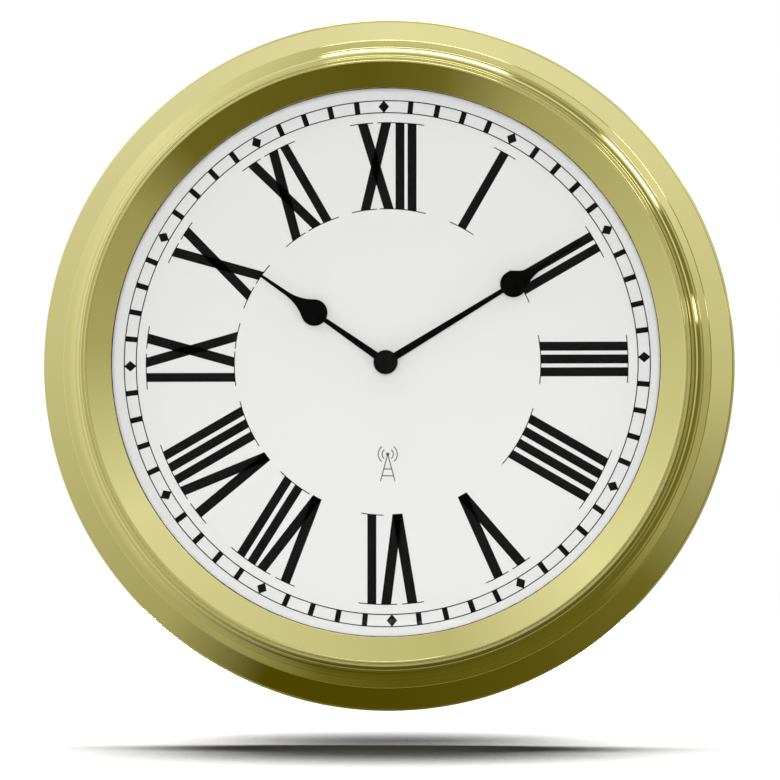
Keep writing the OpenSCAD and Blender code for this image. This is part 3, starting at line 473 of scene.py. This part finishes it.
# Per hour: stems (top, foot), slants (top, foot), outer serifs, inner serifs, all in mm
NUMERALS = {
    12: ([(5.7, 5.7), (10.9, 10.9)], [(-10.4, 0.9), (-0.2, -9.2)],
         [(-15.8, -5.9), (-4.1, 16.1)], [(-15.0, -4.3), (-3.0, 16.8)]),
    1: ([(-1.4, -1.4)], [], [(-6.6, 4.1)], [(-7.1, 4.6)]),
    2: ([(-3.5, -3.5), (2.1, 2.1)], [], [(-8.5, 7.1)], [(-8.5, 7.8)]),
    3: ([(-7.5, -7.5), (-2.0, -2.0), (3.5, 3.5)], [], [(-12.3, 8.3)], [(-12.3, 8.7)]),
    4: ([(-10.3, -10.3), (-4.6, -4.6), (1.1, 1.1), (6.8, 6.8)], [],
        [(-16.1, 12.6)], [(-14.9, 12.5)]),
    5: ([], [(-7.3, 0.1), (4.1, 0.1)], [(-11.7, -2.6), (-0.7, 10.2)], []),
    6: ([(6.4, 6.4)], [(-11.0, -4.6), (0.3, -4.6)], [(-15.9, -6.6), (-4.5, 12.1)], [(1.4, 10.9)]),
    7: ([(7.8, 6.3), (13.4, 12.0)], [(-9.0, -2.8), (2.6, -2.8)],
        [(-13.5, -4.3), (-1.9, 18.5)], [(0.8, 16.6)]),
    8: ([(2.3, 2.3), (8.1, 8.1), (13.7, 13.7)], [(-15.0, -8.5), (-3.3, -8.5)],
        [(-20.4, -9.5), (-7.4, 18.7)], [(-3.1, 17.8)]),
    9: ([(-5.6, -5.6)], [(0.8, 12.0), (11.3, 0.9)], [(-10.7, 4.7), (6.9, 16.6)],
        [(-9.3, 5.5), (6.8, 17.7)]),
    10: ([], [(-3.8, 5.9), (6.5, -4.1)], [(-9.2, 0.5), (2.2, 11.1)], [(-10.0, 0.2), (1.7, 11.9)]),
    11: ([(8.7, 8.7)], [(-7.1, 3.6), (3.5, -6.6)], [(-12.3, -2.8), (-0.9, 13.8)],
         [(-12.3, -1.9), (-0.5, 13.9)]),
}
# Hours whose slants meet in a V that reaches a little past the inner circle
V_HOURS = (5, 6, 7, 8)


def on_arc(x, radius):
    return (x, math.sqrt(radius * radius - x * x))


def end_radii(hour):
    """Where an hour's numeral starts and ends, in its own frame."""
    a = math.radians(30 * hour)
    outward = (math.sin(a), math.cos(a))
    shift = sum(n * s for n, s in zip(outward, NUMERAL_SHIFT))
    drift = sum(n * c for n, c in zip(outward, INNER_CENTRE))
    return SERIF_R[0] + drift - shift, SERIF_R[1] - shift


def stroke(x_top, x_foot, width, foot_r, top_r):
    """A stem or slanted stroke whose ends follow the dial's circles."""
    w = width / 2
    return [on_arc(x_top - w, top_r), on_arc(x_top, top_r), on_arc(x_top + w, top_r),
            on_arc(x_foot + w, foot_r), on_arc(x_foot, foot_r), on_arc(x_foot - w, foot_r)]


def serif(radius, left, right, steps=10):
    xs = [left + (right - left) * i / steps for i in range(steps + 1)]
    w = SERIF_LINE / 2
    return [on_arc(x, radius + w) for x in xs] + [on_arc(x, radius - w) for x in reversed(xs)]


def numeral(bm, hour):
    stems, slants, tops, feet = NUMERALS[hour]
    foot_r, top_r = end_radii(hour)
    tip_r = foot_r - V_TIP if hour in V_HOURS else foot_r
    outlines = [stroke(top, foot, STROKE, foot_r, top_r) for top, foot in stems]
    outlines += [stroke(top, foot, SLANT_STROKE, tip_r, top_r) for top, foot in slants]
    outlines += [serif(top_r, *ends) for ends in tops]
    outlines += [serif(foot_r, *ends) for ends in feet]
    for outline in outlines:
        ink_plate(bm, [moved(swung(x, y, 30 * hour), NUMERAL_SHIFT) for x, y in outline])


def dial_print():
    bm = bmesh.new()
    minute_ring(bm)
    for hour in NUMERALS:
        numeral(bm, hour)
    return mesh_from(bm, "dial_print")


piece("dial_print", dial_print(), ink, "case")


# A plain radio sign under the centre: a mast, its ball, and two waves to each side

SIGN_AT = (0.6, -39.2)
SIGN_LINE = 0.45
BALL_R = 0.75
MAST_H = 11.6
MAST_W = 6.2
RUNGS = (0.55, 0.8)
WAVE_R = (2.4, 4.1)
WAVE_SPAN = 52


def bar_between(a, b, width):
    dx, dy = b[0] - a[0], b[1] - a[1]
    length = math.hypot(dx, dy)
    nx, ny = -dy / length * width / 2, dx / length * width / 2
    return [moved(a, (nx, ny)), moved(b, (nx, ny)), moved(b, (-nx, -ny)), moved(a, (-nx, -ny))]


def on_circle(radius, angles):
    return [(radius * math.sin(t), radius * math.cos(t)) for t in angles]


def wave(radius, side):
    angles = [math.radians(side - WAVE_SPAN + 2 * WAVE_SPAN * k / 12) for k in range(13)]
    w = SIGN_LINE / 2
    return on_circle(radius + w, angles) + on_circle(radius - w, angles[::-1])


def radio_sign():
    """Drawn about the mast's top, then moved to its place on the dial."""
    half = MAST_W / 2
    lines = [((0, 0), (-half, -MAST_H)), ((0, 0), (half, -MAST_H))]
    lines += [((-half * share, -MAST_H * share), (half * share, -MAST_H * share)) for share in RUNGS]
    outlines = [bar_between(a, b, SIGN_LINE) for a, b in lines]
    outlines.append(on_circle(BALL_R, [math.radians(20 * k) for k in range(18)]))
    outlines += [wave(r, side) for r in WAVE_R for side in (90, 270)]
    bm = bmesh.new()
    for outline in outlines:
        ink_plate(bm, [moved(point, SIGN_AT) for point in outline])
    return mesh_from(bm, "radio_sign")


piece("radio_sign", radio_sign(), grey_ink, "case")


# Stage: one round floor, a little below the clock

FLOOR_Z = -0.267
FLOOR_R = 2.0
FLOOR_SIDES = 96
FLOOR_ALBEDO = 0.85
# The colour that the camera sees is raised, so that lit floor is white, and more so far from the lamps
FLOOR_SEEN = 1.35
FLOOR_SEEN_FAR = 16.0
NEAR_R = 0.35
FAR_R = 1.2
# Painted shadow near the clock: the floor's colour that the camera sees is darkened by how much open
# sky a point sees within reach
PAINTED_SHADOW_REACH = 0.25
PAINTED_SHADOW_SAMPLES = 32
PAINTED_SHADOW = [(0.42, 0.11), (0.58, 0.10), (0.63, 0.06), (0.66, 0.12), (0.69, 0.25), (0.72, 0.42),
         (0.75, 0.60), (0.78, 0.78), (0.82, 1.0)]


def floor_material():
    m = bpy.data.materials.new("floor_white")
    m.use_nodes = True
    t = m.node_tree
    t.nodes.clear()
    out = t.nodes.new("ShaderNodeOutputMaterial")
    diffuse = t.nodes.new("ShaderNodeBsdfDiffuse")
    path = t.nodes.new("ShaderNodeLightPath")
    where = t.nodes.new("ShaderNodeTexCoord")
    far = t.nodes.new("ShaderNodeVectorMath")
    far.operation = "LENGTH"
    t.links.new(where.outputs["Object"], far.inputs[0])
    seen = span(t, far.outputs["Value"], NEAR_R, FAR_R, FLOOR_SEEN, FLOOR_SEEN_FAR)
    # Painted shadow: the colour that the camera sees is darkened where a point sees little open sky
    # near the clock
    open_sky = t.nodes.new("ShaderNodeAmbientOcclusion")
    open_sky.samples = PAINTED_SHADOW_SAMPLES
    open_sky.inputs["Distance"].default_value = PAINTED_SHADOW_REACH
    painted_shadow = ramp(t, open_sky.outputs["AO"], [(sky, grey(tone)) for sky, tone in PAINTED_SHADOW])
    shaded = math_node(t, "MULTIPLY", seen, painted_shadow)
    color = blend(t, path.outputs["Is Camera Ray"], grey(FLOOR_ALBEDO), shaded)
    t.links.new(color, diffuse.inputs["Color"])
    t.links.new(diffuse.outputs["BSDF"], out.inputs["Surface"])
    return m


def add_floor():
    angles = [2 * math.pi * k / FLOOR_SIDES for k in range(FLOOR_SIDES)]
    rim = [(FLOOR_R * math.sin(a), FLOOR_R * math.cos(a), 0) for a in angles]
    mesh = bpy.data.meshes.new("floor")
    mesh.from_pydata(rim, [], [tuple(range(FLOOR_SIDES))])
    mesh.materials.append(floor_material())
    floor = bpy.data.objects.new("floor", mesh)
    bpy.context.scene.collection.objects.link(floor)
    floor.location.z = FLOOR_Z
    floor.visible_glossy = False


add_floor()


# World: the room that gloss and glass see, in layers by depth from the camera's side to the wall's

# Brightness of each layer by clock angle, as a share of display white: light above, dark below
AHEAD = [(-180, 0.35), (-165, 0.40), (-145, 0.63), (-75, 0.80), (-45, 0.89), (-15, 0.74),
         (55, 0.86), (90, 0.65), (120, 0.60), (138, 0.39), (180, 0.35)]
COVE = [(-180, 0.34), (-165, 0.36), (-125, 0.75), (-45, 0.88), (0, 0.64), (60, 0.44), (100, 0.41),
        (180, 0.34)]
BESIDE = [(-180, 0.30), (-155, 0.29), (-135, 0.64), (-90, 0.76), (0, 0.89), (45, 0.85), (90, 0.76),
          (130, 0.42), (155, 0.34), (180, 0.30)]
NEAR = 0.80
BACK = 0.80
# Where each layer lies, as the y of the direction looked in; between two layers they blend
NEAR_Y = -0.75
AHEAD_Y = (-0.64, -0.35)
COVE_Y = (-0.14, 0.20)
BESIDE_Y = (0.26, 0.385)
STEEP_Y = (0.43, 0.62)
BACK_Y = 0.85
# Dark round the camera
CAMERA_SIDE = (0.04, 0.04, 0.035, 1)
CAMERA_SIDE_Y = (-0.98, -0.965)
# Lit panels: how much of their glow shows at each clock angle
PANELS = [(-14, 0), (-12, 1), (18, 1), (20, 0), (40, 0), (42, 1), (55, 1), (57, 0), (75, 0),
          (76, 0.6), (79, 0.6), (80, 0)]
PANEL_Y = (-0.12, 0.17)
PANEL_EDGE = 0.02
PANEL_GLOW = 4.0
# Gold shows less green and blue than red by these shares of display white
GREEN_STEP = 0.027
BLUE_STEP = 0.286
# What matt surfaces get from the room
MATT_LEVEL = 0.07


def linear(v):
    """Light level of a share of display white."""
    v = max(v, 0.004)
    return v / 12.92 if v <= 0.04045 else ((v + 0.055) / 1.055) ** 2.4


def mirrored(v):
    """The colour that the gold must mirror to show a brightness."""
    shown = (linear(v), linear(v - GREEN_STEP), linear(v - BLUE_STEP))
    return (*(c / g for c, g in zip(shown, GOLD)), 1)


def round_the_clock(t, fac, stops):
    return ramp(t, fac, [(0.5 + deg / 360, color) for deg, color in stops])


def room_color(t):
    """The room's colour by the direction looked in."""
    where = t.nodes.new("ShaderNodeTexCoord")
    split = t.nodes.new("ShaderNodeSeparateXYZ")
    t.links.new(where.outputs["Generated"], split.inputs["Vector"])
    x, y, z = (split.outputs[k] for k in "XYZ")
    turn = math_node(t, "MULTIPLY", math_node(t, "ARCTAN2", x, z), 1 / (2 * math.pi))
    fac = math_node(t, "ADD", turn, 0.5)
    ahead, cove, beside = (round_the_clock(t, fac, [(deg, mirrored(v)) for deg, v in stops])
                           for stops in (AHEAD, COVE, BESIDE))
    layers = [(NEAR_Y, AHEAD_Y[0], ahead),
              (AHEAD_Y[1], COVE_Y[0], cove),
              (COVE_Y[1], BESIDE_Y[0], beside),
              (BESIDE_Y[1], STEEP_Y[0], cove),
              (STEEP_Y[1], BACK_Y, mirrored(BACK))]
    color = mirrored(NEAR)
    for edge_from, edge_to, layer in layers:
        color = blend(t, span(t, y, edge_from, edge_to), color, layer)
    color = blend(t, span(t, y, CAMERA_SIDE_Y[1], CAMERA_SIDE_Y[0]), color, CAMERA_SIDE)
    panels = round_the_clock(t, fac, [(deg, grey(v)) for deg, v in PANELS])
    band = math_node(t, "MULTIPLY", span(t, y, PANEL_Y[0] - PANEL_EDGE, PANEL_Y[0]),
                     span(t, y, PANEL_Y[1] + PANEL_EDGE, PANEL_Y[1]))
    return blend(t, math_node(t, "MULTIPLY", panels, band), color, grey(PANEL_GLOW))


def add_world():
    """White to the camera, a plain level to matt surfaces, a room to gloss and glass."""
    w = bpy.data.worlds.new("studio")
    bpy.context.scene.world = w
    w.use_nodes = True
    t = w.node_tree
    t.nodes.clear()
    path = t.nodes.new("ShaderNodeLightPath")
    clear = math_node(t, "MAXIMUM", path.outputs["Is Glossy Ray"], path.outputs["Is Transmission Ray"])
    color = blend(t, path.outputs["Is Camera Ray"], grey(MATT_LEVEL), grey(1.0))
    color = blend(t, clear, color, room_color(t))
    bg = t.nodes.new("ShaderNodeBackground")
    out = t.nodes.new("ShaderNodeOutputWorld")
    t.links.new(color, bg.inputs["Color"])
    t.links.new(bg.outputs["Background"], out.inputs["Surface"])


add_world()


# Lamps: place, point looked at, size, watts, spread; gloss and glass don't see them

LOOK_AT = (0, 0, -0.1)
LAMPS = {
    "top_box": ((0, 0.08, 1.1), (0, 0, -0.26), (1.5, 0.9), 7.5, 100),
    "front_box": ((0.06, -1.7, -0.14), LOOK_AT, (0.3, 0.3), 15.9, 180),
    "left_box": ((-1.5, -1.4, 0), LOOK_AT, (1.2, 0.5), 1, 180),
    "right_box": ((1.7, -0.9, 0), LOOK_AT, (1.2, 0.5), 1, 180),
    "back_box": ((0.4, 1.8, 0.2), LOOK_AT, (1.6, 0.8), 16, 180),
}


def aimed(name, data, where, look):
    """A lamp or camera at a place, looking along a direction."""
    o = bpy.data.objects.new(name, data)
    bpy.context.scene.collection.objects.link(o)
    o.location = where
    o.rotation_mode = "QUATERNION"
    o.rotation_quaternion = look.to_track_quat("-Z", "Y")
    return o


def softbox(name, where, look_at, size, power, spread):
    data = bpy.data.lights.new(name, "AREA")
    data.shape = "RECTANGLE"
    data.size, data.size_y = size
    data.energy = power
    data.spread = math.radians(spread)
    o = aimed(name, data, where, Vector(look_at) - Vector(where))
    o.visible_camera = o.visible_glossy = o.visible_transmission = False


for name, lamp in LAMPS.items():
    softbox(name, *lamp)


# Camera, placed by a fit to the dial's marks and the bezel's edges

CAMERA_AT = (0.0622, -1.400, -0.1668)
CAMERA_YAW = 0.04392
CAMERA_PITCH = 0.03846
FOCAL_PX = 3218.5
FRAME_PX = 780
SENSOR = 36.0


def add_camera():
    data = bpy.data.cameras.new("camera")
    data.sensor_width = SENSOR
    data.lens = FOCAL_PX / FRAME_PX * SENSOR
    data.clip_start, data.clip_end = 0.05, 50
    look = Vector((-math.sin(CAMERA_YAW) * math.cos(CAMERA_PITCH),
                   math.cos(CAMERA_YAW) * math.cos(CAMERA_PITCH), math.sin(CAMERA_PITCH)))
    bpy.context.scene.camera = aimed("camera", data, CAMERA_AT, look)


add_camera()
bpy.context.scene.view_settings.view_transform = "Standard"
